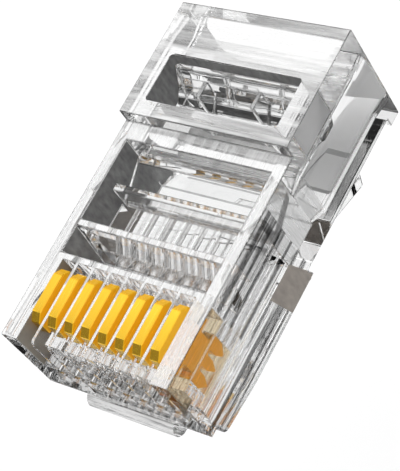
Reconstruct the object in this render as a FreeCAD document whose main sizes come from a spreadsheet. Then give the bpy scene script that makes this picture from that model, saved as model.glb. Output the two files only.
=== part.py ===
"""An eight-position modular plug: a clear moulded housing, its latch and clamps, and eight contacts.

X runs across the plug, Y from the mating front at 0 to the cable end, and Z up towards the contacts.
Z is 0 on the top face of the front body. Lengths are in millimetres.
"""
import FreeCAD, Part
import math
import os
import Sketcher
from FreeCAD import Vector

doc = FreeCAD.newDocument("modular_plug")
sheet = doc.addObject("Spreadsheet::Sheet", "sizes")

CELLS = [
    # housing outline
    ("plug_width", 11.68),
    ("block_length", 7.9),
    ("nose_depth", 5.6),
    ("keel_drop", 0.7),
    ("side_rail_drop", 0.6),
    ("side_rail_length", 10.28),
    ("side_rail_lean", 0.27),
    ("side_rail_nose_length", 3.5),
    ("side_rail_nose_rise", 0.35),
    ("side_rail_round", 0.5),
    ("nose_setback", 0.65),
    ("rear_rise", 0.9),
    ("lip_length", 1.0),
    ("lip_drop", 0.65),
    # windows in the top face, and the bars between them, from the front
    ("cross_rail", 0.4),
    ("sight_window_length", 1.75),
    ("sight_window_depth", 3.1),
    ("sight_window_taper", 9.0),
    ("cross_rib", 0.45),
    ("clamp_window_length", 5.4),
    ("clamp_window_width", 10.1),
    ("guide_length", 2.5),
    ("guide_roof", 2.5),
    ("shoulder_strip", 1.2),
    ("rear_window_setback", 1.05),
    ("rear_window_length", 3.25),
    ("rear_window_width", 9.2),
    ("rear_window_round", 0.25),
    # cable and wire spaces
    ("jacket_bay_wall", 0.54),
    ("jacket_bay_top", 1.75),
    ("jacket_bay_floor", 0.45),
    ("jacket_bay_round", 1.0),
    ("mouth_flare", 0.25),
    ("mouth_length", 1.4),
    ("funnel_round", 0.4),
    ("tunnel_diameter", 1.0),
    ("tunnel_axis", 4.5),
    ("front_wall", 0.85),
    # contacts and their slots
    ("contact_count", 8),
    ("contact_pitch", 1.19),
    ("contact_thick", 0.62),
    ("contact_setback", 1.25),
    ("contact_proud", 0.29),
    ("crown_flat", 2.4),
    ("crown_bevel_run", 0.5),
    ("crown_bevel_drop", 0.4),
    ("crown_depth", 1.45),
    ("neck_width", 1.96),
    ("neck_depth", 0.95),
    ("comb_width", 2.76),
    ("comb_bevel", 0.12),
    ("comb_side", 1.05),
    ("tine_point", 0.62),
    ("tine_pitch", 0.94),
    ("tine_gap", 0.3),
    ("tine_root", 0.3),
    ("tine_land", 0.12),
    ("slot_side_gap", 0.185),
    ("slot_rear_gap", 0.55),
    ("slot_clearance", 0.02),
    ("crimp_travel", 1.0),
    ("front_slot_depth", 3.1),
    ("divider_round", 0.35),
    # latch
    ("latch_width", 6.2),
    ("hinge_at", 0.32),
    ("hinge_drop", 6.36),
    ("hinge_radius", 0.7),
    ("hinge_clearance", 0.05),
    ("latch_thick", 0.8),
    ("latch_lean", 0.24),
    ("latch_root_drop", 0.28),
    ("latch_shoulder_at", 12.8),
    ("latch_shoulder_drop", 10.25),
    ("latch_tab_width", 3.3),
    ("latch_tip_at", 21.0),
    ("latch_tip_drop", 12.7),
    ("latch_tip_round", 0.5),
    # jacket clamp
    ("clamp_clearance", 0.05),
    ("jacket_clamp_top", 0.1),
    ("jacket_clamp_land", 0.32),
    ("jacket_clamp_slope_run", 0.55),
    ("jacket_clamp_slope_drop", 1.07),
    ("jacket_clamp_length", 1.65),
    ("jacket_clamp_nose_drop", 0.75),
    ("jacket_clamp_depth", 2.7),
    ("jacket_clamp_toe", 0.3),
    ("web_spacing", 3.8),
    ("web_thick", 0.3),
    ("web_depth", 0.35),
    ("web_top", 0.2),
    ("web_bottom", 2.9),
    # conductor clamp
    ("wire_clamp_gap", 0.12),
    ("wire_clamp_rib", 0.5),
    ("wire_clamp_rib_top", 1.05),
    ("wire_clamp_rear_top", 1.46),
    ("wire_clamp_front_top", 2.3),
    ("wire_clamp_thick", 0.62),
    ("wire_clamp_relief", 0.2),
]
for row, (word, number) in enumerate(CELLS, start=1):
    sheet.set("A%d" % row, word)
    sheet.set("B%d" % row, str(number))
    sheet.setAlias("B%d" % row, word)
doc.recompute()


class Size:
    """A length that knows both its number and its formula in the sheet."""

    def __init__(self, text, number):
        self.text = text
        self.number = number

    def join(self, sign, other, number):
        text = other.text if isinstance(other, Size) else repr(other)
        return Size("(%s %s %s)" % (self.text, sign, text), number)

    def __add__(self, other):
        return self.join("+", other, self.number + plain(other))

    def __sub__(self, other):
        return self.join("-", other, self.number - plain(other))

    def __mul__(self, other):
        return self.join("*", other, self.number * plain(other))

    def __truediv__(self, other):
        return self.join("/", other, self.number / plain(other))

    def __neg__(self):
        return Size("(0 - %s)" % self.text, -self.number)


def plain(value):
    return value.number if isinstance(value, Size) else float(value)


def cell(word):
    return Size("sizes." + word, float(sheet.get(word)))


ZERO = Size("0", 0.0)


def bind(thing, field, size):
    """Set a field's number and tie it to the sheet."""
    thing.setExpression(field, size.text)


def new_body(label):
    body = doc.addObject("PartDesign::Body", label)
    body.Label = label
    return body


def new_sketch(body, name, plane, lift):
    """A sketch parallel to one of the body's own planes, lifted along the plane's normal."""
    sketch = body.newObject("Sketcher::SketchObject", name)
    features = body.Origin.OriginFeatures
    support = [feature for feature in features if feature.Role == plane][0]
    sketch.AttachmentSupport = [(support, "")]
    sketch.MapMode = "FlatFace"
    bind(sketch, "AttachmentOffset.Base.z", lift)
    return sketch


def pin_point(sketch, edge, end, across, along):
    """Fix one end of an edge at its two distances from the sketch's origin."""
    for kind, size in (("DistanceX", across), ("DistanceY", along)):
        spot = sketch.addConstraint(Sketcher.Constraint(kind, -1, 1, edge, end, size.number))
        bind(sketch, "Constraints[%d]" % spot, size)


def polygon(body, name, plane, lift, corners):
    """A closed outline of straight edges through the given corners."""
    sketch = new_sketch(body, name, plane, lift)
    points = [Vector(across.number, along.number, 0) for across, along in corners]
    edges = []
    for start, stop in zip(points, points[1:] + points[:1]):
        edges.append(sketch.addGeometry(Part.LineSegment(start, stop), False))
    for edge, after in zip(edges, edges[1:] + edges[:1]):
        sketch.addConstraint(Sketcher.Constraint("Coincident", edge, 2, after, 1))
    for edge, (across, along) in zip(edges, corners):
        pin_point(sketch, edge, 1, across, along)
    return sketch


def rounded_box(body, name, plane, lift, low, high, radius):
    """A rectangle with rounded corners: four quarter arcs, then the straight side that follows each."""
    sketch = new_sketch(body, name, plane, lift)
    left, bottom = low
    right, top = high
    centres = [
        (left + radius, bottom + radius),
        (right - radius, bottom + radius),
        (right - radius, top - radius),
        (left + radius, top - radius),
    ]
    outward = [(0, -1), (1, 0), (0, 1), (-1, 0)]
    for corner, (across, along) in enumerate(centres):
        middle = Vector(across.number, along.number, 0)
        first = math.pi + corner * math.pi / 2
        circle = Part.Circle(middle, Vector(0, 0, 1), radius.number)
        sketch.addGeometry(Part.ArcOfCircle(circle, first, first + math.pi / 2), False)
    for corner, (across, along) in enumerate(outward):
        reach = Vector(across, along, 0) * radius.number
        here = centres[corner]
        after = centres[(corner + 1) % 4]
        start = Vector(here[0].number, here[1].number, 0) + reach
        stop = Vector(after[0].number, after[1].number, 0) + reach
        sketch.addGeometry(Part.LineSegment(start, stop), False)
    for corner in range(4):
        sketch.addConstraint(Sketcher.Constraint("Tangent", corner, 2, 4 + corner, 1))
        sketch.addConstraint(Sketcher.Constraint("Tangent", 4 + corner, 2, (corner + 1) % 4, 1))
    for corner in (0, 2):
        pin_point(sketch, corner, 3, centres[corner][0], centres[corner][1])
    for side, kind in ((4, "Horizontal"), (5, "Vertical"), (6, "Horizontal"), (7, "Vertical")):
        sketch.addConstraint(Sketcher.Constraint(kind, side))
    spot = sketch.addConstraint(Sketcher.Constraint("Radius", 0, radius.number))
    bind(sketch, "Constraints[%d]" % spot, radius)
    return sketch


def disc(body, name, plane, lift, centre, radius):
    """A circle about the given centre."""
    sketch = new_sketch(body, name, plane, lift)
    middle = Vector(centre[0].number, centre[1].number, 0)
    sketch.addGeometry(Part.Circle(middle, Vector(0, 0, 1), radius.number), False)
    pin_point(sketch, 0, 3, centre[0], centre[1])
    spot = sketch.addConstraint(Sketcher.Constraint("Radius", 0, radius.number))
    bind(sketch, "Constraints[%d]" % spot, radius)
    return sketch


def extrude(body, kind, name, sketch, length, both_ways=False, other_way=False):
    """Pad or pocket a sketch by a length from the sheet."""
    feature = body.newObject("PartDesign::" + kind, name)
    feature.Profile = sketch
    bind(feature, "Length", length)
    if both_ways:
        feature.SideType = "Symmetric"
    feature.Reversed = other_way
    sketch.Visibility = False
    doc.recompute()
    return feature


def loft(body, name, first, last):
    """Cut the space between two outlines."""
    feature = body.newObject("PartDesign::SubtractiveLoft", name)
    feature.Profile = first
    feature.Sections = [last]
    feature.Ruled = True
    doc.recompute()
    return feature


def origin_feature(body, role):
    """One of the body's own axes or planes, in the form that patterns and mirrors take."""
    return [feature for feature in body.Origin.OriginFeatures if feature.Role == role][0]


def edges_where(feature, test):
    """Names of the edges whose two ends and middle all pass the test."""
    found = []
    for number, edge in enumerate(feature.Shape.Edges, start=1):
        middle = edge.valueAt((edge.FirstParameter + edge.LastParameter) / 2)
        spots = [vertex.Point for vertex in edge.Vertexes] + [middle]
        if all(test(spot) for spot in spots):
            found.append("Edge%d" % number)
    return found


def round_edges(body, name, feature, test, radius):
    """Round every edge that passes the test."""
    rounding = body.newObject("PartDesign::Fillet", name)
    rounding.Base = (feature, edges_where(feature, test))
    bind(rounding, "Radius", radius)
    doc.recompute()
    return rounding


SAME_PLACE = 0.001


def near(first, second):
    return abs(first - second) < SAME_PLACE


# across the plug
plug_width = cell("plug_width")
jacket_bay_width = plug_width - cell("jacket_bay_wall") * 2
rear_window_width = cell("rear_window_width")
clamp_window_width = cell("clamp_window_width")
latch_width = cell("latch_width")
pitch = cell("contact_pitch")
row_length = pitch * (cell("contact_count") - 1)
row_start = -(row_length / 2)
contact_thick = cell("contact_thick")
slot_clearance = cell("slot_clearance")

# from the front to the rear
crown_half = cell("crown_flat") / 2 + cell("crown_bevel_run")
contact_at = cell("contact_setback") + crown_half
comb_half = cell("comb_width") / 2
slot_rear = contact_at + crown_half + cell("slot_rear_gap")
sight_window_from = slot_rear + cell("cross_rail")
sight_window_to = sight_window_from + cell("sight_window_length")
clamp_window_from = sight_window_to + cell("cross_rib")
clamp_window_to = clamp_window_from + cell("clamp_window_length")
tunnel_to = clamp_window_from + cell("guide_length")
shoulder_from = clamp_window_to + cell("shoulder_strip")
plug_length = shoulder_from + cell("block_length")
lip_from = plug_length - cell("lip_length")
rear_window_from = shoulder_from + cell("rear_window_setback")
rear_window_to = rear_window_from + cell("rear_window_length")
nose_setback = cell("nose_setback")
side_rail_to = nose_setback + cell("side_rail_length")
side_rail_heel = side_rail_to + cell("side_rail_lean")
hinge_at = cell("hinge_at")
hinge_radius = cell("hinge_radius")
hinge_clearance = cell("hinge_clearance")
clamp_clearance = cell("clamp_clearance")

# levels, down from the top face
rear_rise = cell("rear_rise")
nose_depth = cell("nose_depth")
body_depth = nose_depth + cell("keel_drop")
bay_top = cell("jacket_bay_top")
bay_bottom = body_depth - cell("jacket_bay_floor")
side_rail_depth = body_depth + cell("side_rail_drop")
lip_depth = body_depth + cell("lip_drop")
hinge_drop = cell("hinge_drop")
tunnel_axis = cell("tunnel_axis")
tunnel_radius = cell("tunnel_diameter") / 2
wire_bay_bottom = tunnel_axis + tunnel_radius
wire_bay_top = cell("wire_clamp_rear_top") + cell("wire_clamp_thick")
contact_top = cell("contact_proud")
crown_bottom = contact_top - cell("crown_depth")
neck_bottom = crown_bottom - cell("neck_depth")


def window(body, name, lift, width, start, stop, depth):
    """A square-cornered pocket in the top face."""
    half = width / 2
    outline = polygon(body, name + "_outline", "XY_Plane", lift, [
        (-half, start),
        (half, start),
        (half, stop),
        (-half, stop),
    ])
    return extrude(body, "Pocket", name, outline, depth)


def cut_cable_spaces(body):
    """The jacket bay with its flared mouth, and the funnel that leads the wires forward."""
    half = jacket_bay_width / 2
    low = (-half, -bay_bottom)
    high = (half, -bay_top)
    bay_round = cell("jacket_bay_round")
    bay = rounded_box(body, "jacket_bay_outline", "XZ_Plane", -shoulder_from, low, high, bay_round)
    extrude(body, "Pocket", "jacket_bay", bay, plug_length - shoulder_from + nose_setback)

    flare = cell("mouth_flare")
    flared_low = (low[0] - flare, low[1] - flare)
    flared_high = (high[0] + flare, high[1] + flare)
    mouth_from = plug_length - cell("mouth_length")
    inner = rounded_box(body, "mouth_inner", "XZ_Plane", -mouth_from, low, high, bay_round)
    outer = rounded_box(body, "mouth_outer", "XZ_Plane", -plug_length, flared_low, flared_high,
                        bay_round + flare)
    loft(body, "mouth", inner, outer)

    wire_half = clamp_window_width / 2
    wire_low = (-wire_half, -wire_bay_bottom)
    wire_high = (wire_half, -wire_bay_top)
    narrow = rounded_box(body, "funnel_front", "XZ_Plane", -clamp_window_to, wire_low, wire_high,
                         cell("funnel_round"))
    wide = rounded_box(body, "funnel_rear", "XZ_Plane", -shoulder_from, low, high, bay_round)
    loft(body, "funnel", narrow, wide)


def cut_windows(body):
    """The windows: over the jacket bay, over the wire bay and its guides, and behind the contacts."""
    half = rear_window_width / 2
    rear = rounded_box(body, "rear_window_outline", "XY_Plane", rear_rise,
                       (-half, rear_window_from), (half, rear_window_to), cell("rear_window_round"))
    extrude(body, "Pocket", "rear_window", rear, rear_rise + (bay_top + bay_bottom) / 2)
    window(body, "wire_bay", ZERO, clamp_window_width, tunnel_to, clamp_window_to, wire_bay_bottom)
    window(body, "guide_recess", ZERO, clamp_window_width, clamp_window_from, tunnel_to,
           cell("guide_roof"))
    sight = window(body, "sight_window", ZERO, clamp_window_width, sight_window_from, sight_window_to,
                   cell("sight_window_depth"))
    bind(sight, "TaperAngle", -cell("sight_window_taper"))
    doc.recompute()


def cut_contact_row(body):
    """One contact's slot and wire tunnel, repeated along the row, with rounded dividers between."""
    crown_floor = crown_bottom - cell("crimp_travel") - slot_clearance
    slot_width = contact_thick + cell("slot_side_gap") * 2
    front_wall = cell("front_wall")
    front_floor = -cell("front_slot_depth")
    crown_outline = polygon(body, "crown_slot_outline", "YZ_Plane", row_start, [
        (-nose_setback, contact_top),
        (slot_rear, contact_top),
        (slot_rear, crown_floor),
        (front_wall, crown_floor),
        (front_wall, front_floor),
        (-nose_setback, front_floor),
    ])
    crown_slot = extrude(body, "Pocket", "crown_slot", crown_outline, slot_width, both_ways=True)
    comb_reach = comb_half + slot_clearance
    comb_outline = polygon(body, "comb_slot_outline", "YZ_Plane", row_start, [
        (contact_at - comb_reach, crown_bottom),
        (contact_at + comb_reach, crown_bottom),
        (contact_at + comb_reach, -tunnel_axis),
        (contact_at - comb_reach, -tunnel_axis),
    ])
    comb_slot = extrude(body, "Pocket", "comb_slot", comb_outline, contact_thick + slot_clearance * 2,
                        both_ways=True)
    ring = disc(body, "tunnel_outline", "XZ_Plane", -front_wall, (row_start, -tunnel_axis), tunnel_radius)
    tunnel = extrude(body, "Pocket", "tunnel", ring, tunnel_to - front_wall + tunnel_radius)
    row = body.newObject("PartDesign::LinearPattern", "slot_row")
    row.Originals = [crown_slot, comb_slot, tunnel]
    row.Direction = (origin_feature(body, "X_Axis"), [""])
    bind(row, "Length", row_length)
    bind(row, "Occurrences", cell("contact_count"))
    body.Tip = row
    doc.recompute()
    row_half = row_length.number / 2
    round_edges(body, "divider_rounding", row, lambda spot: (
        near(spot.y, 0) and near(spot.z, 0) and abs(spot.x) < row_half), cell("divider_round"))


def cut_latch_channel(body):
    """The space that the latch lies in: a notch for its root, then a channel between the side rails."""
    notch_to = hinge_at + hinge_radius + hinge_clearance
    channel_to = side_rail_heel + cell("side_rail_lean")
    outline = polygon(body, "latch_channel_outline", "YZ_Plane", ZERO, [
        (-nose_setback, -nose_depth),
        (notch_to, -nose_depth),
        (notch_to, -body_depth),
        (channel_to, -body_depth),
        (channel_to, -side_rail_depth - nose_setback),
        (-nose_setback, -side_rail_depth - nose_setback),
    ])
    extrude(body, "Pocket", "latch_channel", outline, latch_width + hinge_clearance * 2, both_ways=True)


def build_housing():
    """The clear moulding: an outline swept across the plug, then its spaces, windows and slots."""
    body = new_body("housing")
    side_rail_nose = side_rail_depth - cell("side_rail_nose_rise")
    side = polygon(body, "side_outline", "YZ_Plane", ZERO, [
        (ZERO, ZERO),
        (shoulder_from, ZERO),
        (shoulder_from, rear_rise),
        (plug_length, rear_rise),
        (plug_length, -lip_depth),
        (lip_from, -lip_depth),
        (lip_from, -body_depth),
        (side_rail_to, -body_depth),
        (side_rail_heel, -side_rail_depth),
        (nose_setback + cell("side_rail_nose_length"), -side_rail_depth),
        (nose_setback, -side_rail_nose),
        (nose_setback, -nose_depth),
        (ZERO, -nose_depth),
    ])
    block = extrude(body, "Pad", "block", side, plug_width, both_ways=True)
    round_edges(body, "side_rail_rounding", block, lambda spot: (
        near(spot.y, nose_setback.number) and near(spot.z, -side_rail_nose.number)),
        cell("side_rail_round"))
    cut_latch_channel(body)
    cut_cable_spaces(body)
    cut_windows(body)
    cut_contact_row(body)
    return body


def build_latch():
    """The latch lever: a round root, a wide shoulder that catches in a jack, and a narrow tab."""
    body = new_body("latch")
    thick = cell("latch_thick")
    lean = cell("latch_lean")
    shoulder_at = cell("latch_shoulder_at")
    shoulder_level = -cell("latch_shoulder_drop")
    tip_at = cell("latch_tip_at")
    tip_level = -cell("latch_tip_drop")
    root = disc(body, "root_outline", "YZ_Plane", ZERO, (hinge_at, -hinge_drop), hinge_radius)
    extrude(body, "Pad", "root", root, latch_width, both_ways=True)
    lever = polygon(body, "lever_outline", "YZ_Plane", ZERO, [
        (hinge_at, -hinge_drop),
        (hinge_at + hinge_radius, -hinge_drop - cell("latch_root_drop")),
        (shoulder_at, shoulder_level),
        (tip_at, tip_level),
        (tip_at - lean, tip_level - thick),
        (shoulder_at - lean, shoulder_level - thick),
        (hinge_at, -hinge_drop - hinge_radius),
    ])
    extrude(body, "Pad", "lever", lever, latch_width, both_ways=True)

    tab_half = cell("latch_tab_width") / 2
    beside_tab = polygon(body, "tab_side_outline", "YZ_Plane", tab_half, [
        (shoulder_at + lean, shoulder_level + thick),
        (tip_at + thick, shoulder_level + thick),
        (tip_at + thick, tip_level - thick * 2),
        (shoulder_at - lean * 2, shoulder_level - thick * 2),
    ])
    side_cut = extrude(body, "Pocket", "tab_side", beside_tab, latch_width, other_way=True)
    both_sides = body.newObject("PartDesign::Mirrored", "tab_other_side")
    both_sides.Originals = [side_cut]
    both_sides.MirrorPlane = (origin_feature(body, "YZ_Plane"), [""])
    body.Tip = both_sides
    doc.recompute()
    end_from = tip_at.number - lean.number * 2
    round_edges(body, "tip_rounding", both_sides, lambda spot: (
        spot.y > end_from and near(abs(spot.x), tab_half.number)), cell("latch_tip_round"))
    return body


def build_jacket_clamp():
    """The bar that is pressed onto the cable's jacket, with two upright webs on its front."""
    body = new_body("jacket_clamp")
    rear = rear_window_to - clamp_clearance
    top = cell("jacket_clamp_top")
    land_front = rear - cell("jacket_clamp_land")
    slope_front = land_front - cell("jacket_clamp_slope_run")
    slope_foot = top - cell("jacket_clamp_slope_drop")
    front = rear - cell("jacket_clamp_length")
    bottom = top - cell("jacket_clamp_depth")
    toe = cell("jacket_clamp_toe")
    outline = polygon(body, "clamp_outline", "YZ_Plane", ZERO, [
        (rear, top),
        (land_front, top),
        (slope_front, slope_foot),
        (front, slope_foot - cell("jacket_clamp_nose_drop")),
        (front, bottom + toe),
        (front + toe, bottom),
        (land_front, bottom),
        (rear, slope_foot),
    ])
    bar = extrude(body, "Pad", "bar", outline, rear_window_width - clamp_clearance * 2, both_ways=True)
    side = rear_window_width.number / 2 - clamp_clearance.number
    round_edges(body, "bar_rounding", bar, lambda spot: (
        near(spot.y, rear.number) and near(abs(spot.x), side)), cell("rear_window_round"))
    web_half = cell("web_thick") / 2
    web_front = front - cell("web_depth")
    for name, side in (("left_web", -1), ("right_web", 1)):
        middle = cell("web_spacing") / 2 * side
        web = polygon(body, name + "_outline", "XY_Plane", cell("web_top"), [
            (middle - web_half, web_front),
            (middle + web_half, web_front),
            (middle + web_half, slope_front),
            (middle - web_half, slope_front),
        ])
        extrude(body, "Pad", name, web, cell("web_top") + cell("web_bottom"), other_way=True)
    return body


def build_conductor_clamp():
    """The sloping plate that is pressed onto the wires, with the rib that the crimping tool pushes."""
    body = new_body("conductor_clamp")
    rear = clamp_window_to - clamp_clearance
    rear_level = -cell("wire_clamp_rear_top")
    front = tunnel_to + cell("wire_clamp_gap")
    front_level = -cell("wire_clamp_front_top")
    rib_rear = front + cell("wire_clamp_rib")
    thick = cell("wire_clamp_thick")
    outline = polygon(body, "plate_outline", "YZ_Plane", ZERO, [
        (rear, rear_level),
        (rib_rear, front_level),
        (rib_rear, -cell("wire_clamp_rib_top")),
        (front, -cell("wire_clamp_rib_top")),
        (front, front_level - thick),
        (rib_rear, front_level - thick),
        (rear - cell("wire_clamp_relief"), rear_level - thick),
    ])
    extrude(body, "Pad", "plate", outline, clamp_window_width - clamp_clearance * 2, both_ways=True)
    return body


def build_contact(number):
    """One blade: a bevelled crown on a narrower neck, over a comb of three pointed tines."""
    body = new_body("contact_%d" % number)
    neck_half = cell("neck_width") / 2
    gap_half = cell("tine_gap") / 2
    gap_at = cell("tine_pitch") / 2
    gap_top = neck_bottom - cell("tine_root")
    land_half = cell("tine_land") / 2
    tine_at = cell("tine_pitch")
    kink = neck_bottom - cell("comb_side")
    point = kink - cell("tine_point")
    rear_half = [
        (cell("crown_flat") / 2, contact_top),
        (crown_half, contact_top - cell("crown_bevel_drop")),
        (crown_half, crown_bottom),
        (neck_half, crown_bottom),
        (neck_half, neck_bottom),
        (comb_half, neck_bottom - cell("comb_bevel")),
        (comb_half, kink),
        (tine_at + land_half, point),
        (tine_at - land_half, point),
        (gap_at + gap_half, kink),
        (gap_at + gap_half, gap_top - gap_half),
        (gap_at, gap_top),
        (gap_at - gap_half, gap_top - gap_half),
        (gap_at - gap_half, kink),
        (land_half, point),
    ]
    profile = [(contact_at + across, level) for across, level in rear_half]
    profile += [(contact_at - across, level) for across, level in reversed(rear_half)]
    outline = polygon(body, "blade_outline", "YZ_Plane", ZERO, profile)
    extrude(body, "Pad", "blade", outline, contact_thick, both_ways=True)
    bind(body, "Placement.Base.x", row_length / 2 - pitch * (number - 1))
    return body


bodies = [build_housing(), build_latch(), build_jacket_clamp(), build_conductor_clamp()]
for contact_number in range(1, int(cell("contact_count").number) + 1):
    bodies.append(build_contact(contact_number))
doc.recompute()

for thing in doc.Objects:
    for state in thing.State:
        if state in ("Invalid", "Error"):
            raise RuntimeError("%s is %s" % (thing.Name, state))
for body in bodies:
    if body.Shape.isNull() or not body.Shape.isValid():
        raise RuntimeError("%s has no sound shape" % body.Label)

os.makedirs("parts", exist_ok=True)
for body in bodies:
    body.Shape.exportStep("parts/%s.step" % body.Label)
    box = body.Shape.BoundBox
    print("%-16s %8.2f mm3, %d solid, X %.2f..%.2f Y %.2f..%.2f Z %.2f..%.2f" % (
        body.Label, body.Shape.Volume, len(body.Shape.Solids),
        box.XMin, box.XMax, box.YMin, box.YMax, box.ZMin, box.ZMax))
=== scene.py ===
# %% [markdown]
# # A clear modular plug
# The plug is a clear moulding with open windows. Two clamps stand in the windows, eight gold blades stand
# in slots, and a springy latch lever hangs below. Its shape is already settled by solids, so the work
# here is to finish their edges, to give each its plastic or metal, and to light them.
# The solids come in as loose triangles in metres, with Y running from the front to the cable end and Z
# up towards the blades. All is deselected at once, because an operator works on whatever is selected.

# %% Load the solids
import math

import bpy
from mathutils import Matrix, Vector


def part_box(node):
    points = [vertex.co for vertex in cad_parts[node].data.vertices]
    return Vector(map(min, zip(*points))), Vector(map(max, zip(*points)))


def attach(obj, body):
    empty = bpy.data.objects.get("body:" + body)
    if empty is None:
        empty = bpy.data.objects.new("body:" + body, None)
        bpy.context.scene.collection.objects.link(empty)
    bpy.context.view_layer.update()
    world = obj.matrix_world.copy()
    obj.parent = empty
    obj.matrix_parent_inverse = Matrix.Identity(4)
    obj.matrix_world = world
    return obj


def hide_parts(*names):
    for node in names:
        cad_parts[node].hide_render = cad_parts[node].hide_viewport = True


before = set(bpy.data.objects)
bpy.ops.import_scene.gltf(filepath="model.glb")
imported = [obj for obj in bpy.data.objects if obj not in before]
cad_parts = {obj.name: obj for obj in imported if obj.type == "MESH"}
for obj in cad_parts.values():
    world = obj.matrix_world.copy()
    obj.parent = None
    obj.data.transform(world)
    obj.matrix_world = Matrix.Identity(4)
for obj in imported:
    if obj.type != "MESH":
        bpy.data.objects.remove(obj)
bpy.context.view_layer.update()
bpy.ops.object.select_all(action="DESELECT")
scene = bpy.context.scene
MM = 0.001
print("solids:", sorted(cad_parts))

# %% [markdown]
# ## Camera
# A long lens well above the front right corner shows the top, the front and the right side at once. The
# camera could be turned by hand, but a point to look at, a distance and three angles say what it does.
# The roll leans the plug over, so that it fills a tall picture from corner to corner.

# %% Camera
AIM_AT = Vector((0, 10.242, -3.73)) * MM
CAMERA_DISTANCE = 95.02 * MM
CAMERA_SIDEWAYS = math.radians(-28.80)
CAMERA_ABOVE = math.radians(48.22)
CAMERA_ROLL = math.radians(-38.73)
CAMERA_LENS = 129.93

towards_camera = Vector((
    math.cos(CAMERA_SIDEWAYS) * math.cos(CAMERA_ABOVE),
    math.sin(CAMERA_SIDEWAYS) * math.cos(CAMERA_ABOVE),
    math.sin(CAMERA_ABOVE),
))
stand = Matrix.Translation(AIM_AT + towards_camera * CAMERA_DISTANCE)
aim = (-towards_camera).to_track_quat("-Z", "Y").to_matrix().to_4x4()
bpy.ops.object.camera_add()
camera = bpy.context.object
camera.data.lens = CAMERA_LENS
camera.data.clip_start = MM
camera.matrix_world = stand @ aim @ Matrix.Rotation(CAMERA_ROLL, 4, "Z")
scene.camera = camera
print("camera at", [round(c / MM, 1) for c in camera.location], "mm")

# %% [markdown]
# ## Light
# Clear plastic has no colour of its own, so it shows only what surrounds it. A lamp would leave a small
# hard glint and little else. A bright overhead dome that darkens towards the horizon gives white faces
# with crisp dark edges, because near an edge the plastic bends a ray off to the dark part of the dome.
# A bare view past the plug meets a plain white backdrop, so the horizon never shows behind it.
# The dome is a colour ramp over the height of a ray, so two helpers for grays come first.


# %% Grays
def gray(level):
    """An even gray."""
    return (level, level, level)


def gray_steps(ramp, steps):
    """Fill a colour ramp with grays, each given by its place and its level."""
    ramp.elements.remove(ramp.elements[1])
    ramp.elements[0].position = steps[0][0]
    ramp.elements[0].color = (*gray(steps[0][1]), 1)
    for place, level in steps[1:]:
        ramp.elements.new(place).color = (*gray(level), 1)


print("middle gray is", gray(0.5))

# %% Sky dome
DOME_STRENGTH = 1.0
BACKDROP = 1.0
DOME_STEPS = (
    (0.00, 0.03),
    (0.22, 0.06),
    (0.47, 0.27),
    (0.62, 1.02),
    (0.82, 1.05),
    (0.90, 2.25),
    (1.00, 2.40),
)

world = bpy.data.worlds.new("studio_dome")
scene.world = world
world.use_nodes = True
sky_nodes = world.node_tree.nodes
sky_links = world.node_tree.links
direction = sky_nodes.new("ShaderNodeTexCoord")
height = sky_nodes.new("ShaderNodeSeparateXYZ")
dome = sky_nodes.new("ShaderNodeValToRGB")
gray_steps(dome.color_ramp, DOME_STEPS)
seen_bare = sky_nodes.new("ShaderNodeLightPath")
backdrop = sky_nodes.new("ShaderNodeMix")
backdrop.data_type = "RGBA"
backdrop.inputs["B"].default_value = (*gray(BACKDROP), 1)
sky_links.new(direction.outputs["Generated"], height.inputs[0])
sky_links.new(height.outputs["Z"], dome.inputs[0])
sky_links.new(seen_bare.outputs["Is Camera Ray"], backdrop.inputs["Factor"])
sky_links.new(dome.outputs[0], backdrop.inputs["A"])
sky_links.new(backdrop.outputs["Result"], sky_nodes["Background"].inputs["Color"])
sky_nodes["Background"].inputs["Strength"].default_value = DOME_STRENGTH
scene.view_settings.view_transform = "Standard"
print("dome with", len(dome.color_ramp.elements), "steps")

# %% [markdown]
# Light crosses a dozen walls before it leaves this plug, and each crossing uses up one bounce. With the
# usual limit the deep parts would turn black, so the limit is raised.

# %% Bounces
CROSSINGS = 32
MIRRORINGS = 16
scene.cycles.max_bounces = CROSSINGS
scene.cycles.transmission_bounces = CROSSINGS
scene.cycles.glossy_bounces = MIRRORINGS
print("bounces:", scene.cycles.max_bounces)

# %% [markdown]
# ## Materials
# Each finish is a small node tree. All of them start the same way, so a helper makes a material and hands
# back its nodes, its links and its main shader. Another mixes two shaders, and a third makes the result
# the material's surface.


# %% Material helpers
def new_material(name):
    """A material with its nodes, its links and its main shader."""
    material = bpy.data.materials.new(name)
    material.use_nodes = True
    tree = material.node_tree
    return material, tree.nodes, tree.links, tree.nodes["Principled BSDF"]


def mixed(nodes, links, share, first, second):
    """Two shaders in one, where the share is the second one's: a number, or what a node puts out."""
    both = nodes.new("ShaderNodeMixShader")
    if isinstance(share, float):
        both.inputs[0].default_value = share
    else:
        links.new(share, both.inputs[0])
    links.new(first.outputs[0], both.inputs[1])
    links.new(second.outputs[0], both.inputs[2])
    return both


def cover_with(nodes, links, surface):
    """Make a shader the material's surface."""
    links.new(surface.outputs[0], nodes["Material Output"].inputs["Surface"])


print("material helpers ready")

# %% [markdown]
# No real surface is the same all over. A picture could be laid over it, but a noise pattern needs no
# unwrapping and has no seams. It is stretched along the way that the plastic flowed or the tool moved, and
# it drives a colour, a number such as the roughness, or fine bumps.

# %% Pattern helpers
SOFT = 2.0
FINE = 3.0
FINEST = 4.0


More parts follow.
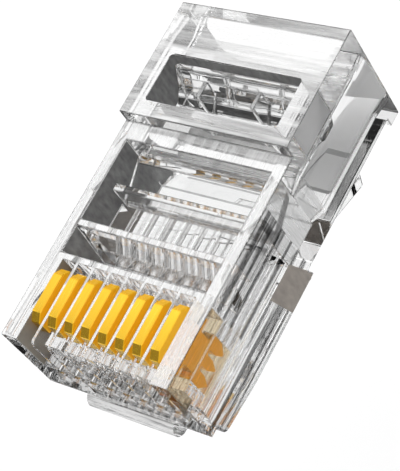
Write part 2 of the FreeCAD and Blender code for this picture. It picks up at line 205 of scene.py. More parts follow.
def stretched_noise(nodes, links, per_metre, detail):
    """Noise on the object's own coordinates, with its own scale along each axis."""
    place = nodes.new("ShaderNodeTexCoord")
    stretch = nodes.new("ShaderNodeMapping")
    stretch.inputs["Scale"].default_value = per_metre
    noise = nodes.new("ShaderNodeTexNoise")
    noise.inputs["Scale"].default_value = 1.0
    noise.inputs["Detail"].default_value = detail
    links.new(place.outputs["Object"], stretch.inputs["Vector"])
    links.new(stretch.outputs["Vector"], noise.inputs["Vector"])
    return noise.outputs["Fac"]


def ramp_between(nodes, links, factor, low, high):
    """A colour that runs from low to high with the factor."""
    ramp = nodes.new("ShaderNodeValToRGB")
    ramp.color_ramp.elements[0].color = (*low, 1)
    ramp.color_ramp.elements[1].color = (*high, 1)
    links.new(factor, ramp.inputs[0])
    return ramp.outputs[0]


def level_between(nodes, links, factor, low, high):
    """A number that runs from low to high with the factor."""
    spread = nodes.new("ShaderNodeMapRange")
    spread.inputs["To Min"].default_value = low
    spread.inputs["To Max"].default_value = high
    links.new(factor, spread.inputs["Value"])
    return spread.outputs["Result"]


def bumps(nodes, links, factor, strength, depth):
    """Fine unevenness of the surface."""
    bump = nodes.new("ShaderNodeBump")
    bump.inputs["Strength"].default_value = strength
    bump.inputs["Distance"].default_value = depth
    links.new(factor, bump.inputs["Height"])
    return bump.outputs["Normal"]


print("pattern helpers ready")

# %% [markdown]
# ### Clear polycarbonate
# The housing, the latch and the clamps are one clear plastic, as smooth as the polished mould that it was
# cast in. Plain glass would do, with the plastic's own index of 1.58. A real moulding is never quite even,
# because the plastic cools as it flows from the gate at one end to the other. A very faint ripple that is
# drawn out along Y shows that flow, and a breath of gray in the colour stands for the depth of plastic.

# %% Clear polycarbonate
PLASTIC_INDEX = 1.58
PLASTIC_SHEEN = (*gray(0.55), 1)
PLASTIC_TINTS = ((0.93, 0.935, 0.935), gray(0.975))
RIPPLE_STRETCH = (900, 120, 900)
RIPPLE_STRENGTH = 0.05
RIPPLE_DEPTH = 0.02 * MM


def make_clear(shader):
    """Turn a Principled shader into smooth clear plastic."""
    shader.inputs["Roughness"].default_value = 0.0
    shader.inputs["IOR"].default_value = PLASTIC_INDEX
    shader.inputs["Transmission Weight"].default_value = 1.0


def clear_polycarbonate():
    """Polished clear plastic with faint lines of flow."""
    material, nodes, links, shader = new_material("clear_polycarbonate")
    make_clear(shader)
    flow = stretched_noise(nodes, links, RIPPLE_STRETCH, SOFT)
    links.new(ramp_between(nodes, links, flow, *PLASTIC_TINTS), shader.inputs["Base Color"])
    links.new(bumps(nodes, links, flow, RIPPLE_STRENGTH, RIPPLE_DEPTH), shader.inputs["Normal"])
    shader.inputs["Specular Tint"].default_value = PLASTIC_SHEEN
    return material


clear_plastic = clear_polycarbonate()
print("made", clear_plastic.name)

# %% [markdown]
# ### Edge line
# Along a rounded edge the plastic bends what lies behind it so strongly that the edge shows as a fine gray
# line. A strip this narrow has too few facets to bend light that much, so its gray is painted shade: a dark
# tint that takes part of the light away.

# %% Edge line
EDGE_CLOUDS = (1500, 1500, 1500)
# The edge grays are painted shade, for the dark that a rounded edge bends into view.
EDGE_PAINTED_SHADE_GRAYS = (gray(0.08), gray(0.4))


def edge_painted_shade():
    """Clear plastic along an edge, with a painted shade that passes less of the light."""
    material, nodes, links, shader = new_material("edge_painted_shade")
    make_clear(shader)
    clouds = stretched_noise(nodes, links, EDGE_CLOUDS, SOFT)
    links.new(ramp_between(nodes, links, clouds, *EDGE_PAINTED_SHADE_GRAYS), shader.inputs["Base Color"])
    return material


painted_edge_shade = edge_painted_shade()
print("made", painted_edge_shade.name)

# %% [markdown]
# ### Tunnel walls
# The eight wire tunnels are drawn by long thin pins, which leave their walls a little rough. Rough plastic
# still passes light, but it blurs what lies behind it, so the row of tunnels looks soft and pale.

# %% Tunnel walls
PIN_STRETCH = (4000, 300, 4000)
PIN_TINTS = (gray(0.94), gray(1.0))
PIN_ROUGHNESS = (0.03, 0.12)


def pin_drawn():
    """Slightly rough clear plastic with marks along the pin."""
    material, nodes, links, shader = new_material("pin_drawn_tunnel")
    make_clear(shader)
    marks = stretched_noise(nodes, links, PIN_STRETCH, SOFT)
    links.new(ramp_between(nodes, links, marks, *PIN_TINTS), shader.inputs["Base Color"])
    links.new(level_between(nodes, links, marks, *PIN_ROUGHNESS), shader.inputs["Roughness"])
    return material


tunnel_wall = pin_drawn()
print("made", tunnel_wall.name)

# %% [markdown]
# ### Slot walls
# Each blade is pressed into its slot, so it lies on the plastic and shows straight through it. An air gap
# would turn the slot's wall into a mirror at this angle. The outer wall of the last slot on the right is
# therefore partly open: a third of the light goes straight through to the gold. The amber tint and the warm
# sheen of the plastic beside the blade are a painted reflection of the gold.

# %% Slot walls
SLOT_OPEN = 0.35
# The warm sheen and the ambers below are a painted reflection of the gold.
SLOT_PAINTED_GOLD_SHEEN = (1.0, 0.84, 0.6, 1)
SLOT_CLOUDS = (900, 900, 900)
SLOT_PAINTED_GOLD_REFLECTION = ((0.72, 0.54, 0.28), (0.8, 0.62, 0.36))


def slot_side():
    """Clear plastic that lies against a blade, with a painted reflection of the gold in its tint and sheen.
    """
    material, nodes, links, shader = new_material("slot_wall")
    make_clear(shader)
    shader.inputs["Specular Tint"].default_value = SLOT_PAINTED_GOLD_SHEEN
    clouds = stretched_noise(nodes, links, SLOT_CLOUDS, SOFT)
    tint = ramp_between(nodes, links, clouds, *SLOT_PAINTED_GOLD_REFLECTION)
    straight = nodes.new("ShaderNodeBsdfTransparent")
    links.new(tint, shader.inputs["Base Color"])
    links.new(tint, straight.inputs["Color"])
    cover_with(nodes, links, mixed(nodes, links, SLOT_OPEN, shader, straight))
    return material


slot_wall = slot_side()
print("made", slot_wall.name)

# %% [markdown]
# ### Matt faces
# Not all of the mould is polished. Cores that have to draw well are left matt by spark erosion, and their
# walls are the flat gray panels in the plug. Their gray is painted shade. Their fine grain is a noise that
# varies the gray and the roughness a little and raises tiny bumps.

# %% Spark-eroded grain
GRAIN_STRETCH = (3500, 3500, 1500)
GRAIN_ROUGHNESS = (0.4, 0.55)
GRAIN_STRENGTH = 0.15
GRAIN_DEPTH = 0.01 * MM


def make_matt(nodes, links, shader):
    """Turn a Principled shader matt, with a fine spark-eroded grain."""
    grain = stretched_noise(nodes, links, GRAIN_STRETCH, FINEST)
    links.new(level_between(nodes, links, grain, *GRAIN_ROUGHNESS), shader.inputs["Roughness"])
    links.new(bumps(nodes, links, grain, GRAIN_STRENGTH, GRAIN_DEPTH), shader.inputs["Normal"])
    shader.inputs["IOR"].default_value = PLASTIC_INDEX
    return grain


def make_mottled(nodes, links, shader, low, high):
    """Turn a Principled shader matt, with a colour that follows the grain."""
    grain = make_matt(nodes, links, shader)
    links.new(ramp_between(nodes, links, grain, low, high), shader.inputs["Base Color"])


print("grain roughness:", GRAIN_ROUGHNESS)

# %% [markdown]
# From the open side such a wall is painted dark gray, as painted shade. Through the plastic it is painted a
# lighter gray, and at a low angle it mirrors, as any face of clear plastic does. Frosted glass would
# scatter white here, so a wall gets an outer and an inner look, chosen by the side of the face: two copies
# of one surface with a different painted shade.

# %% Looks from within
CLEAR_TINT = gray(0.97)
FROSTED_SHARE = 0.5


def clear_from_within(nodes):
    """The wall as clear plastic."""
    clear = nodes.new("ShaderNodeBsdfPrincipled")
    make_clear(clear)
    clear.inputs["Base Color"].default_value = (*CLEAR_TINT, 1)
    return clear


def painted_shade_from_within(nodes, links, shade):
    """The wall as a frosted gray of painted shade, or as a mirror at a low angle."""
    matt = nodes.new("ShaderNodeBsdfDiffuse")
    matt.inputs["Color"].default_value = (*gray(shade), 1)
    frosted = nodes.new("ShaderNodeBsdfTranslucent")
    frosted.inputs["Color"].default_value = (*gray(shade), 1)
    mirror = nodes.new("ShaderNodeBsdfGlossy")
    mirror.inputs["Roughness"].default_value = 0.0
    grazing = nodes.new("ShaderNodeFresnel")
    grazing.inputs["IOR"].default_value = PLASTIC_INDEX
    body = mixed(nodes, links, FROSTED_SHARE, matt, frosted)
    return mixed(nodes, links, grazing.outputs[0], body, mirror)


def two_sided(nodes, links, outer, inner):
    """Show one shader on the open side and the other on the plastic's side."""
    which_side = nodes.new("ShaderNodeNewGeometry")
    cover_with(nodes, links, mixed(nodes, links, which_side.outputs["Backfacing"], outer, inner))


print("share of frosted in a gray wall:", FROSTED_SHARE)

# %% [markdown]
# Some faces are matt in one part only. The face could be cut in two along the divide, but a cut through
# clear plastic can show as a line. Instead the material compares each spot with a straight line, given by
# a direction on the object's own coordinates and a limit along it.

# %% Straight divide
TO_THE_REAR = (0, 1, 0)
DOWNWARD = (0, 0, -1)


def masked(nodes, links, direction, limit, before, beyond):
    """Show one shader before a straight line across the face, and another beyond it."""
    place = nodes.new("ShaderNodeTexCoord")
    reach = nodes.new("ShaderNodeVectorMath")
    reach.operation = "DOT_PRODUCT"
    reach.inputs[1].default_value = direction
    is_beyond = nodes.new("ShaderNodeMath")
    is_beyond.operation = "GREATER_THAN"
    is_beyond.inputs[1].default_value = limit
    links.new(place.outputs["Object"], reach.inputs[0])
    links.new(reach.outputs["Value"], is_beyond.inputs[0])
    return mixed(nodes, links, is_beyond.outputs[0], before, beyond)


print("divides run along", TO_THE_REAR, "or", DOWNWARD, "or a slope between")

# %% [markdown]
# ### Window walls
# The walls of the three windows that look across the plug are matt, and dark gray from the window as
# painted shade. The front two are formed by a core that drags as it draws, which leaves fine lines that
# show through the plastic. The rear one is an even gray. The contact row's end wall on the left is matt
# too, in a dark warm gray that is painted shade with a painted reflection of the gold beside it.

# %% Window walls
# These grays are painted shade; the end wall's warm tone is a painted reflection of the gold.
WINDOW_PAINTED_SHADE_GRAYS = (gray(0.06), gray(0.52))
END_WALL_PAINTED_GOLD_SHADE = ((0.27, 0.25, 0.22), (0.40, 0.37, 0.32))
DRAG_STRETCH = (400, 4000, 400)
DRAG_SHARES = (0.0, 0.8)
DRAG_PAINTED_SHADE = 0.75
REAR_PAINTED_SHADE = 0.95


def front_window_painted_shade():
    """Dark and matt from the window as painted shade, clear with gray drag lines from the plastic."""
    material, nodes, links, shader = new_material("front_window_painted_shade")
    make_mottled(nodes, links, shader, *WINDOW_PAINTED_SHADE_GRAYS)
    drag = level_between(nodes, links, stretched_noise(nodes, links, DRAG_STRETCH, FINE), *DRAG_SHARES)
    lines = painted_shade_from_within(nodes, links, DRAG_PAINTED_SHADE)
    two_sided(nodes, links, shader, mixed(nodes, links, drag, clear_from_within(nodes), lines))
    return material


def rear_window_painted_shade():
    """Dark and matt from the window, lighter gray from the plastic, both painted shade."""
    material, nodes, links, shader = new_material("rear_window_painted_shade")
    make_mottled(nodes, links, shader, *WINDOW_PAINTED_SHADE_GRAYS)
    two_sided(nodes, links, shader, painted_shade_from_within(nodes, links, REAR_PAINTED_SHADE))
    return material


def slot_end_painted_shade():
    """The end wall of the contact row, a warm gray: painted shade with a painted reflection of the gold."""
    material, nodes, links, shader = new_material("slot_end_painted_shade")
    make_mottled(nodes, links, shader, *END_WALL_PAINTED_GOLD_SHADE)
    two_sided(nodes, links, shader, clear_from_within(nodes))
    return material


front_wall = front_window_painted_shade()
rear_wall = rear_window_painted_shade()
slot_end_wall = slot_end_painted_shade()
print("made", front_wall.name, rear_wall.name, slot_end_wall.name)

# %% [markdown]
# ### Jacket bay
# From 15.55 mm back the floor of the jacket bay is matt, in two light bands, each behind a darker band.
# The bay's side walls are polished but for a matt corner beside the mouth, whose edge runs at a slope.
# The grays of the floor and of that corner are painted shade. A straight divide keeps both faces whole.

# %% Jacket bay
# These grays are painted shade, with two darker bands across the floor.
BAY_FLOOR_PAINTED_SHADE_BANDS = ((0.0, 0.35), (15.75, 0.86), (17.95, 0.4), (18.3, 0.92))
BAY_WALL_PAINTED_SHADE_GRAYS = (gray(0.5), gray(0.6))
BAY_INNER_PAINTED_SHADE = 0.9
GRAY_FLOOR_FROM = 15.55 * MM
MOUTH_SLOPE = 0.66
MOUTH_LINE = 18.49 * MM
house_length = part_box("housing")[1][1]


def bay_floor_painted_shade():
    """The floor of the jacket bay, matt and gray as painted shade, with two darker bands across it."""
    material, nodes, links, shader = new_material("bay_floor_painted_shade")
    make_matt(nodes, links, shader)
    place = nodes.new("ShaderNodeTexCoord")
    along = nodes.new("ShaderNodeSeparateXYZ")
    reach = nodes.new("ShaderNodeMapRange")
    reach.inputs["From Max"].default_value = house_length
    bands = nodes.new("ShaderNodeValToRGB")
    bands.color_ramp.interpolation = "CONSTANT"
    gray_steps(bands.color_ramp, [(start * MM / house_length, shade) for start, shade in BAY_FLOOR_PAINTED_SHADE_BANDS])
    links.new(place.outputs["Object"], along.inputs[0])
    links.new(along.outputs["Y"], reach.inputs["Value"])
    links.new(reach.outputs["Result"], bands.inputs[0])
    links.new(bands.outputs[0], shader.inputs["Base Color"])
    clear = clear_from_within(nodes)
    matt = painted_shade_from_within(nodes, links, BAY_INNER_PAINTED_SHADE)
    outer = masked(nodes, links, TO_THE_REAR, GRAY_FLOOR_FROM, clear, shader)
    inner = masked(nodes, links, TO_THE_REAR, GRAY_FLOOR_FROM, clear, matt)
    two_sided(nodes, links, outer, inner)
    return material


def bay_wall_painted_shade():
    """The side wall of the jacket bay: clear, with a matt corner beside the mouth in a gray of painted
    shade.
    """
    material, nodes, links, shader = new_material("bay_wall_painted_shade")
    make_mottled(nodes, links, shader, *BAY_WALL_PAINTED_SHADE_GRAYS)
    clear = clear_from_within(nodes)
    matt = painted_shade_from_within(nodes, links, BAY_INNER_PAINTED_SHADE)
    outer = masked(nodes, links, (0, 1, MOUTH_SLOPE), MOUTH_LINE, clear, shader)
    inner = masked(nodes, links, (0, 1, MOUTH_SLOPE), MOUTH_LINE, clear, matt)
    two_sided(nodes, links, outer, inner)
    return material


bay_floor = bay_floor_painted_shade()
bay_wall = bay_wall_painted_shade()
print("made", bay_floor.name, bay_wall.name)

# %% [markdown]
# ### Outer sides
# The sides of the long front half have fine dark streaks along them, but not where a blade shows through.
# At the heel of each side rail sits a warm matt pad, with a sloping front and rear edge, whose warm gray
# is a painted reflection.

# %% Outer sides
SIDE_STREAK_STRETCH = (300, 60, 3600)
SIDE_STREAK_GRAYS = (gray(0.06), CLEAR_TINT)
SIDE_STREAK_CUTS = (0.42, 0.54)
ROW_TO = 5.0 * MM
ROW_DEPTH = 4.75 * MM
RAIL_TO = 11.2 * MM
# The heel pad's warm grays are a painted warm reflection.
HEEL_PAINTED_REFLECTION_GRAYS = ((0.24, 0.215, 0.195), (0.48, 0.43, 0.38))
HEEL_FROM = 7.9 * MM
HEEL_TOP = -4.35 * MM
HEEL_LEAN = 0.25
HEEL_SLOPE = 0.38
HEEL_LINE = 8.56 * MM


def lined_from_within(nodes, links):
    """Clear plastic with fine dark streaks along the plug."""
    lined = clear_from_within(nodes)
    flow = stretched_noise(nodes, links, SIDE_STREAK_STRETCH, FINE)
    lines = ramp_between(nodes, links, flow, *SIDE_STREAK_GRAYS)
    low, high = lines.node.color_ramp.elements
    low.position, high.position = SIDE_STREAK_CUTS
    links.new(lines, lined.inputs["Base Color"])
    return lined


def side_skin():
    """The outer side of the housing: dark streaks in front, a warm matt pad of painted reflection at the
    heel of the rail.
    """
    material, nodes, links, shader = new_material("side_skin")
    make_mottled(nodes, links, shader, *HEEL_PAINTED_REFLECTION_GRAYS)
    clear = clear_from_within(nodes)
    lined = lined_from_within(nodes, links)
    behind_row = masked(nodes, links, TO_THE_REAR, ROW_TO, clear, lined)
    in_front = masked(nodes, links, DOWNWARD, ROW_DEPTH, behind_row, lined)
    skin = masked(nodes, links, TO_THE_REAR, RAIL_TO, in_front, clear)
    heel_start = HEEL_FROM + HEEL_LEAN * HEEL_TOP
    after = masked(nodes, links, (0, 1, HEEL_LEAN), heel_start, skin, shader)
    under = masked(nodes, links, DOWNWARD, -HEEL_TOP, skin, after)
    cover_with(nodes, links, masked(nodes, links, (0, 1, HEEL_SLOPE), HEEL_LINE, under, skin))
    return material


outer_side = side_skin()
print("made", outer_side.name)

# %% [markdown]
# ### Sole
# Behind the rails the thin sole lets light in from below. Seen from within it would mirror instead and
# draw a dull band along the edge, so most of it is left open on that side.

# %% Sole
SOLE_OPEN = 0.85


def sole():
    """The underside behind the rails, which lets light in from below as seen from within."""
    material, nodes, links, _ = new_material("clear_sole")
    clear = clear_from_within(nodes)
    straight = nodes.new("ShaderNodeBsdfTransparent")
    two_sided(nodes, links, clear, mixed(nodes, links, SOLE_OPEN, clear, straight))
    return material


under_skin = sole()
print("made", under_skin.name)

# %% [markdown]
# ### Streaked faces
# Molten plastic leaves flow streaks on faces where it cools first: the top faces, the roof of the jacket
# bay, the floors of the contact slots and the latch's rounded nose. Each is clear plastic with a veil over
# it that a stretched noise opens and closes. The streaks follow the flow, across the raised block and
# along the front body. The veil is bright where the plastic is thin. At the bottom of a slot it is a dark
# matt, painted shade.

# %% Streaked faces
STREAK_CUTS = (0.32, 0.66)
ROOF_STRETCH = (120, 2600, 500)
ROOF_VEIL = 1.1
SLOT_STRETCH = (6000, 300, 600)
SLOT_VEIL = 1.0
NOSE_STRETCH = (250, 5000, 5000)
NOSE_VEIL = 1.2
CAP_STRETCH = (150, 2200, 500)
CAP_VEIL = 0.55
BODY_STRETCH = (2600, 120, 500)
BODY_VEIL = 0.42
LIT_FROM_BEHIND = ("ShaderNodeBsdfTranslucent", gray(0.9))
# The dark matt is painted shade at the bottom of the slots.
DARK_MATT_PAINTED_SHADE = ("ShaderNodeBsdfDiffuse", (0.1, 0.095, 0.09))
PALE_MATT = ("ShaderNodeBsdfDiffuse", gray(0.95))


def streaked(name, stretch, most, veil_kind):
    """Clear plastic with fine matt streaks drawn along one way."""
    material, nodes, links, _ = new_material(name)
    streaks = stretched_noise(nodes, links, stretch, FINEST)
    cover = level_between(nodes, links, streaks, 0.0, most)
    cover.node.inputs["From Min"].default_value = STREAK_CUTS[0]
    cover.node.inputs["From Max"].default_value = STREAK_CUTS[1]
    veil = nodes.new(veil_kind[0])
    veil.inputs["Color"].default_value = (*veil_kind[1], 1)
    cover_with(nodes, links, mixed(nodes, links, cover, clear_from_within(nodes), veil))
    return material


bay_roof = streaked("bay_roof_veil", ROOF_STRETCH, ROOF_VEIL, LIT_FROM_BEHIND)
slot_floor = streaked("slot_floor_painted_shade", SLOT_STRETCH, SLOT_VEIL, DARK_MATT_PAINTED_SHADE)
nose_face = streaked("nose_veil", NOSE_STRETCH, NOSE_VEIL, PALE_MATT)
cap_face = streaked("cap_veil", CAP_STRETCH, CAP_VEIL, PALE_MATT)
body_face = streaked("body_veil", BODY_STRETCH, BODY_VEIL, PALE_MATT)
print("made", bay_roof.name, slot_floor.name, nose_face.name, cap_face.name, body_face.name)

# %% [markdown]
# ### Gold plate
# The blades are stamped from sheet bronze and plated with gold. The stamping leaves a fine grain along
# each blade, and plating keeps it. A metal's colour is what it reflects, so the gold needs a light and a
# dark part of the dome to look like metal, and its own nodes only vary the tone and the sharpness.
# A blade's flanks and rear bevel lie deep in their slot, where the plastic gathers light round them that
# few traced rays find. They are given less metal, a deeper tone and a faint glow, as painted light that
# stands in for that light.

# %% Gold plate
STAMPED_STRETCH = (6000, 700, 6000)
STAMPED_ROUGHNESS = (0.2, 0.32)
STAMPED_STRENGTH = 0.1
GOLD_TONES = ((0.98, 0.55, 0.035), (1.0, 0.66, 0.07))
# The flank tones, metal and glow are painted light.
FLANK_PAINTED_LIGHT_TONES = ((0.95, 0.48, 0.012), (1.0, 0.57, 0.025))
FLANK_METAL = 0.35
FLANK_GLOW = 0.22


def gold_plate(name, tones, metal, glow):
    """Plated gold with a fine grain along the blade; less metal and a glow give a copy with painted light.
    """
    material, nodes, links, shader = new_material(name)
    grain = stretched_noise(nodes, links, STAMPED_STRETCH, FINE)
    tone = ramp_between(nodes, links, grain, *tones)
    links.new(tone, shader.inputs["Base Color"])
    links.new(tone, shader.inputs["Emission Color"])
    links.new(level_between(nodes, links, grain, *STAMPED_ROUGHNESS), shader.inputs["Roughness"])
    links.new(bumps(nodes, links, grain, STAMPED_STRENGTH, GRAIN_DEPTH), shader.inputs["Normal"])
    shader.inputs["Metallic"].default_value = metal
    shader.inputs["Emission Strength"].default_value = glow
    return material


gold = gold_plate("gold_plate", GOLD_TONES, metal=1.0, glow=0.0)
gold_flank_painted_light = gold_plate("gold_flank_painted_light", FLANK_PAINTED_LIGHT_TONES, metal=FLANK_METAL, glow=FLANK_GLOW)
print("made", gold.name, gold_flank_painted_light.name)

# %% [markdown]
# ## Dressing a solid
# A moulded or stamped edge is never sharp: it has a radius of a few hundredths of a millimetre, and that
# radius is what catches the light. The edge could be faked in the shading, but in clear plastic it also
# bends what lies behind it, so it is cut for real. The steps are the same for all pieces. First the solid
# is copied, its loose triangles are joined and its flat faces made whole again.

# %% Copy a solid
MERGE_WITHIN = 0.001 * MM
SAME_PLANE = math.radians(0.5)


def copy_of(node, materials):
    """A copy of a solid with its triangles joined, standing in its place."""
    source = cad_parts[node]
    piece = source.copy()
    piece.data = source.data.copy()
    piece.name = node + "_shape"
    piece.parent = None
    for key in list(piece.keys()):
        del piece[key]
    scene.collection.objects.link(piece)
    bpy.ops.object.select_all(action="DESELECT")
    piece.select_set(True)
    bpy.context.view_layer.objects.active = piece
    piece.data.materials.clear()
    for material in materials:
        piece.data.materials.append(material)
    bpy.ops.object.mode_set(mode="EDIT")
    bpy.ops.mesh.select_all(action="SELECT")
    bpy.ops.mesh.remove_doubles(threshold=MERGE_WITHIN)
    bpy.ops.mesh.dissolve_limited(angle_limit=SAME_PLANE)
    bpy.ops.object.mode_set(mode="OBJECT")
    if piece.data.has_custom_normals:
        bpy.ops.mesh.customdata_custom_splitnormals_clear()
    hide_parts(node)
    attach(piece, node)
    return piece


print("ready to copy", len(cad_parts), "solids")

# %% [markdown]
# Then a bevel rounds its edges. Rounding all of them by the same amount would eat up the smallest, so each
# sharp edge first gets a weight, its share of the full width. Weighted normals keep the flat faces flat.

# %% Round the edges
SHARP_ANGLE = math.radians(35)
SMOOTH_ANGLE = math.radians(30)
FULL_WEIGHT = 100


def weigh_edges(piece, weight_of):
    """Give each sharp edge its share of the rounding."""
    bpy.ops.object.mode_set(mode="EDIT")
    bpy.ops.mesh.select_mode(type="EDGE")
    bpy.ops.mesh.select_all(action="DESELECT")
    bpy.ops.mesh.edges_select_sharp(sharpness=SHARP_ANGLE)
    bpy.ops.object.mode_set(mode="OBJECT")
    mesh = piece.data
    weights = mesh.attributes.new("bevel_weight_edge", "FLOAT", "EDGE")
    count = 0
    for edge in mesh.edges:
        if edge.select:
            start, stop = (mesh.vertices[end].co for end in edge.vertices)
            share = weight_of(start, stop)
            weights.data[edge.index].value = share
            count += share > 0
    return count


def round_edges(piece, width, finish, segments):
    """Round the weighed edges and give them their own finish."""
    edges = piece.modifiers.new("edges", "BEVEL")
    edges.width = width
    edges.segments = segments
    edges.material = piece.data.materials.find(finish.name)
    edges.limit_method = "WEIGHT"
    edges.use_clamp_overlap = False
    bpy.ops.object.modifier_apply(modifier="edges")
    bpy.ops.object.shade_smooth_by_angle(angle=SMOOTH_ANGLE)
    flat_faces = piece.modifiers.new("flat_faces", "WEIGHTED_NORMAL")
    flat_faces.weight = FULL_WEIGHT
    flat_faces.keep_sharp = True
    bpy.ops.object.modifier_apply(modifier="flat_faces")


print("ready to round edges sharper than", round(math.degrees(SHARP_ANGLE)), "degrees")

# %% [markdown]
# ## Housing
# The housing is the large clear moulding. Its long edges get the full rounding and the edges of the small
# contact slots a share of it. Where a slot breaks into its wire tunnel the edges stay sharp, because any
# rounding there would touch a pressed blade.

# %% Housing edges
PLASTIC_EDGE = 0.07 * MM
EDGE_SEGMENTS = 2
SLOT_SHARE = 0.3
SHORT_EDGE = 0.15 * MM
SLOT_SHORT_EDGE = 4 * SHORT_EDGE
SLOT_ROOM = 0.75 * MM
ROW_BOTTOM = -5.1 * MM
TUNNEL_ROOF = -4.0 * MM

house_finishes = [
    clear_plastic, front_wall, rear_wall, bay_floor, bay_wall, bay_roof, outer_side, under_skin,
    painted_edge_shade, tunnel_wall, slot_wall, slot_end_wall, slot_floor, cap_face, body_face]
house = copy_of("housing", house_finishes)
house_high = Vector(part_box("housing")[1])
clamp_high = Vector(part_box("jacket_clamp")[1])
blade_low, blade_high = (Vector(corner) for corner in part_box("contact_1"))
row_rear = blade_high.y + SLOT_ROOM
row_side = blade_high.x + SLOT_ROOM / 3


def in_row(spot):
    """Whether a point lies in the contact row, where all is small."""
    return spot.y < row_rear and abs(spot.x) < row_side and spot.z > ROW_BOTTOM


def house_edge_share(start, stop):
    """Full rounding on the large edges, a little on the contact row's, none on the shortest."""
    length = (stop - start).length
    if length < SHORT_EDGE:
        return 0
    if in_row(start) and min(start.z, stop.z) < TUNNEL_ROOF:
        return 0
    if in_row(start) or in_row(stop):
        return SLOT_SHARE if length > SLOT_SHORT_EDGE else 0
    return 1


print("housing edges rounded:", weigh_edges(house, house_edge_share))
round_edges(house, PLASTIC_EDGE, painted_edge_shade, EDGE_SEGMENTS)

# %% [markdown]
# Each face then gets its finish from what it is: the way that it looks, and where it lies. A face that
# looks across the plug inside its outer walls is a window's wall, a slot's or the bay's, a face round a
# wire tunnel was drawn by a pin, and a top face has streaks. What is left is polished.

# %% Housing faces
OUTER_SKIN = 0.3 * MM
FACES_SQUARE = 0.7
FACES_UP = 0.05
CLOSE = 0.1 * MM
BAY_FROM = 14.35 * MM
BAY_ROOF = -1.75 * MM
TUNNEL_AXIS = -4.5 * MM
TUNNEL_RADIUS = 0.5 * MM
SLOT_FLOORS_UNDER = -1.0 * MM
SOLE_UNDER = -6.5 * MM
SOLE_FROM = 11.0 * MM

skin_from = house_high.x - OUTER_SKIN
tunnels_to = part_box("conductor_clamp")[0][1] + TUNNEL_RADIUS


def inner_wall_finish(spot):
    """The finish of a wall inside the housing that looks across the plug."""
    if spot.y < row_rear:
        return clear_plastic
    if spot.y < BAY_FROM:
        return front_wall
    return rear_wall if spot.z > BAY_ROOF else bay_wall


def house_finish(face):
    """Which of the housing's finishes a face has, from its place and the way that it looks."""
    spot = face.center
    look = face.normal
    off_centre = abs(spot.x)
    across = abs(look.x) > FACES_SQUARE
    up = look.z > FACES_SQUARE
    down = look.z < -FACES_SQUARE
    in_bay = spot.y > BAY_FROM
    beside_tunnels = row_rear < spot.y < tunnels_to and off_centre < row_side
    if beside_tunnels and abs(look.y) < 1 - FACES_SQUARE:
        if abs(spot.z - TUNNEL_AXIS) < TUNNEL_RADIUS + CLOSE:
            return tunnel_wall
    if across and spot.y < row_rear and blade_high.x < off_centre < row_side:
        return slot_wall if spot.x > 0 else slot_end_wall
    if up and in_row(spot) and spot.y < blade_low.y and spot.z < SLOT_FLOORS_UNDER:
        return slot_floor
    if look.y < -FACES_SQUARE and abs(spot.y - clamp_high.y) < CLOSE and spot.z > BAY_ROOF:
        return rear_wall
    if look.z > FACES_UP and in_bay and spot.z < TUNNEL_AXIS and off_centre < skin_from:
        return bay_floor
    if across and off_centre < skin_from:
        return inner_wall_finish(spot)
    if up and spot.z > -CLOSE:
        return cap_face if in_bay else body_face
    if look.y > FACES_SQUARE and spot.y > house_high.y - CLOSE:
        return cap_face
    if down and in_bay and abs(spot.z - BAY_ROOF) < CLOSE:
        return bay_roof
    if across:
        return outer_side
    if down and spot.z < SOLE_UNDER and spot.y > SOLE_FROM:
        return under_skin
    return clear_plastic


counts = {}
for face in house.data.polygons:
    if house_finishes[face.material_index] != painted_edge_shade:
        finish = house_finish(face)
        face.material_index = house_finishes.index(finish)
        counts[finish.name] = counts.get(finish.name, 0) + 1
print("housing faces:", counts)

# %% [markdown]
# ## Latch and clamps
# On the real plug these are moulded in one piece with the housing, so they are the same clear plastic.
# Their faces are polished, and only the latch's rounded nose has flow streaks.

# %% Latch and clamps
NOSE_TO = 1.0 * MM
NOSE_TILT = 0.2

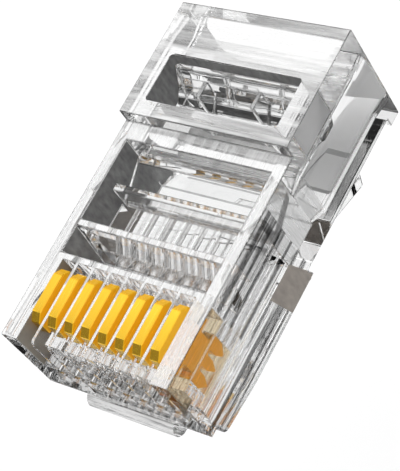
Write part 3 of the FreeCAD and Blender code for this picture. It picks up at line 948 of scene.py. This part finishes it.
for node in ("latch", "jacket_clamp", "conductor_clamp"):
    small = copy_of(node, [clear_plastic, painted_edge_shade, nose_face])
    weigh_edges(small, lambda start, stop: (stop - start).length > SHORT_EDGE)
    round_edges(small, PLASTIC_EDGE, painted_edge_shade, EDGE_SEGMENTS)
    for face in small.data.polygons:
        if node == "latch" and face.center.y < NOSE_TO and face.normal.y < -NOSE_TILT:
            face.material_index = small.data.materials.find(nose_face.name)
    print(node + ":", len(small.data.polygons), "faces")

# %% [markdown]
# ## Blades
# A stamped blade has flat faces, and edges that are only just broken, which draw a thin bright line round
# each face.

# %% Blades
BLADES = 8
BLADE_EDGE = 0.035 * MM
BLADE_SEGMENTS = 1
BLADE_SHORT_EDGE = 0.08 * MM
REAR_TILT = 0.3

for number in range(1, BLADES + 1):
    node = "contact_%d" % number
    blade = copy_of(node, [gold, gold_flank_painted_light])
    weigh_edges(blade, lambda start, stop: (stop - start).length > BLADE_SHORT_EDGE)
    round_edges(blade, BLADE_EDGE, gold, BLADE_SEGMENTS)
    bpy.ops.object.shade_flat()
    for face in blade.data.polygons:
        if abs(face.normal.x) > FACES_SQUARE or face.normal.y > REAR_TILT:
            face.material_index = blade.data.materials.find(gold_flank_painted_light.name)
print(BLADES, "blades dressed")

# %% [markdown]
# ## Floor
# The plug floats a little above a pale matt floor. Set that far below, it takes no visible shadow, and the
# plastic shows a clean white through its walls. Mirrored rays pass it by, so that the glossy faces show
# the dome alone.

# %% Floor
FLOOR_LEVEL = -60 * MM
FLOOR_SIZE = 4.0
FLOOR_CLOUDS = (40, 40, 40)
FLOOR_GRAYS = (gray(0.93), gray(0.95))

bpy.ops.object.select_all(action="DESELECT")
bpy.ops.mesh.primitive_plane_add(size=FLOOR_SIZE, location=(0, 0, FLOOR_LEVEL))
floor = bpy.context.object
floor.name = "floor"
floor_paint, floor_nodes, floor_links, floor_shader = new_material("pale_floor")
clouds = stretched_noise(floor_nodes, floor_links, FLOOR_CLOUDS, SOFT)
floor_tone = ramp_between(floor_nodes, floor_links, clouds, *FLOOR_GRAYS)
floor_links.new(floor_tone, floor_shader.inputs["Base Color"])
floor_shader.inputs["Roughness"].default_value = 1.0
floor_shader.inputs["Specular IOR Level"].default_value = 0.0
floor.data.materials.append(floor_paint)
floor.visible_glossy = False
print("floor at", FLOOR_LEVEL / MM, "mm")
